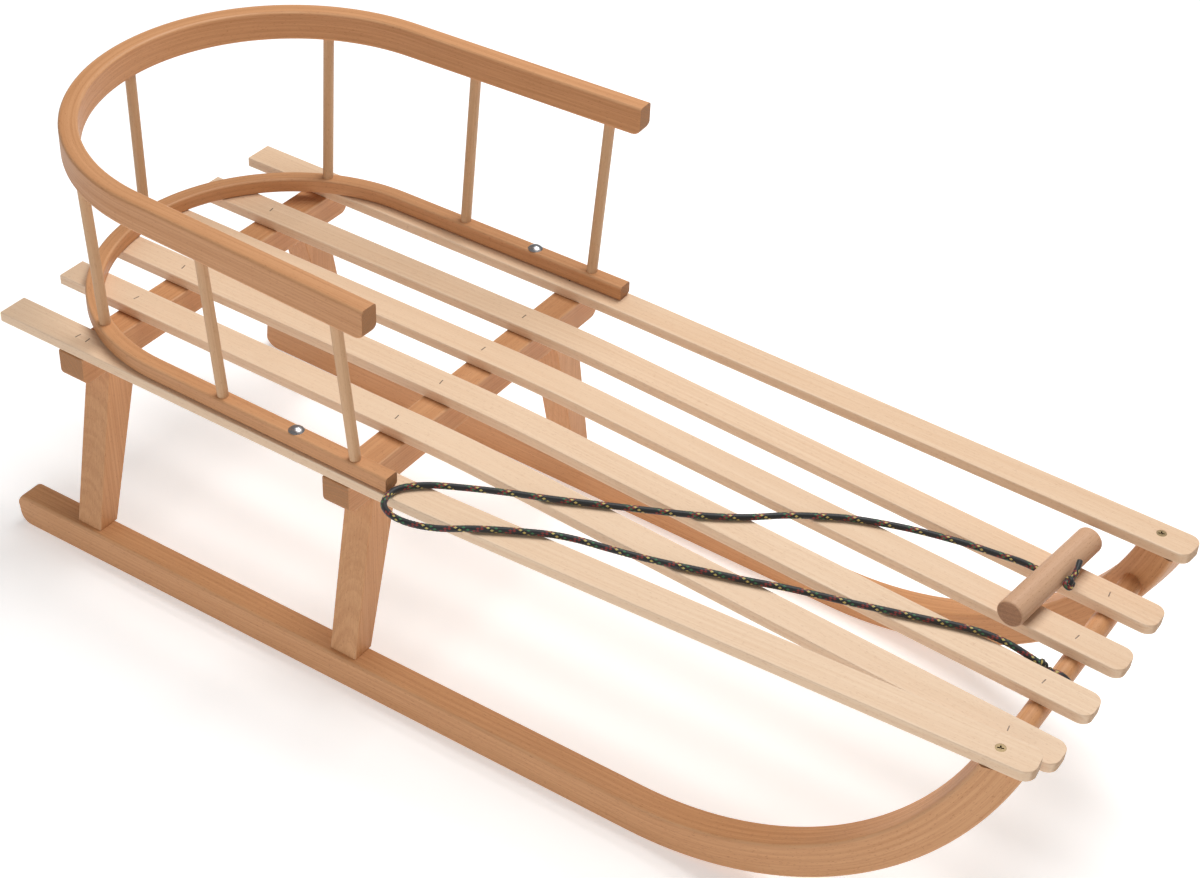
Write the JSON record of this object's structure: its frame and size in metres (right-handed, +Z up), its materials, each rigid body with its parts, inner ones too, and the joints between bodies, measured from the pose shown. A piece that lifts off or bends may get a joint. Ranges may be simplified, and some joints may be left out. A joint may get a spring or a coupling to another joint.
{
  "type": "wooden sled with backrest",
  "caption": "Wooden sled with bent runners, a slatted seat, a lift-off bentwood backrest with spindles, and a braided pull cord with a wooden handle.",
  "frame": {"origin": "ground level, midway along the sled between the backrest's rear and the slats' front ends, on its centre line", "axes": "+X forward towards the curled horns, +Y to the rider's left, +Z up"},
  "size_m": [1.005, 0.4072, 0.427],
  "materials": {
    "slat_beech": "satin",
    "frame_beech": "satin",
    "hoop_beech": "satin",
    "spindle_beech": "satin",
    "handle_beech": "satin",
    "bolt_chrome": "polished",
    "nut_steel": "satin",
    "screw_zinc": "satin",
    "staple_steel": "dull",
    "cord_braid": "matte"
  },
  "bodies": {
    "sled": {"runner_left": "frame_beech", "runner_right": "frame_beech", "leg_rear_left": "frame_beech", "leg_rear_right": "frame_beech", "leg_middle_left": "frame_beech", "leg_middle_right": "frame_beech", "rear_beam": "frame_beech", "middle_beam": "frame_beech", "front_bar": "frame_beech", "slat_1": "slat_beech", "slat_2": "slat_beech", "slat_3": "slat_beech", "slat_4": "slat_beech", "slat_5": "slat_beech", "slat_6": "slat_beech", "staples": "staple_steel", "front_screws": "screw_zinc", "pull_cord": "cord_braid", "bar_loop": "cord_braid", "bar_knot": "cord_braid", "end_knot": "cord_braid", "pull_handle": "handle_beech"},
    "backrest": {"upper_rail": "hoop_beech", "base_hoop": "hoop_beech", "spindle_1": "spindle_beech", "spindle_2": "spindle_beech", "spindle_3": "spindle_beech", "spindle_4": "spindle_beech", "spindle_5": "spindle_beech", "spindle_6": "spindle_beech", "spindle_7": "spindle_beech", "backrest_bolts": "bolt_chrome"},
    "washer_left_body": {"washer_left": "nut_steel"},
    "washer_right_body": {"washer_right": "nut_steel"},
    "nut_left_body": {"nut_left": "nut_steel"},
    "nut_right_body": {"nut_right": "nut_steel"}
  },
  "joints": [
    {"name": "backrest_lift", "type": "slide", "parent": "sled", "child": "backrest", "axis": [0, 0, 1], "range_m": [0, 0.06]},
    {"name": "washer_left_drop", "type": "slide", "parent": "sled", "child": "washer_left_body", "axis": [0, 0, -1], "range_m": [0, 0.004]},
    {"name": "nut_left_turn", "type": "hinge", "parent": "washer_left_body", "child": "nut_left_body", "pos_m": [-0.1645, 0.1726, 0.22], "axis": [0, 0, -1], "range_deg": [0, 1440]},
    {"name": "washer_right_drop", "type": "slide", "parent": "sled", "child": "washer_right_body", "axis": [0, 0, -1], "range_m": [0, 0.004]},
    {"name": "nut_right_turn", "type": "hinge", "parent": "washer_right_body", "child": "nut_right_body", "pos_m": [-0.1645, -0.1726, 0.22], "axis": [0, 0, -1], "range_deg": [0, 1440]}
  ],
  "couplings": [
    {"joint": "nut_left_turn", "follows": "washer_left_drop", "rad_per_m": 6283.2},
    {"joint": "nut_right_turn", "follows": "washer_right_drop", "rad_per_m": 6283.2}
  ]
}
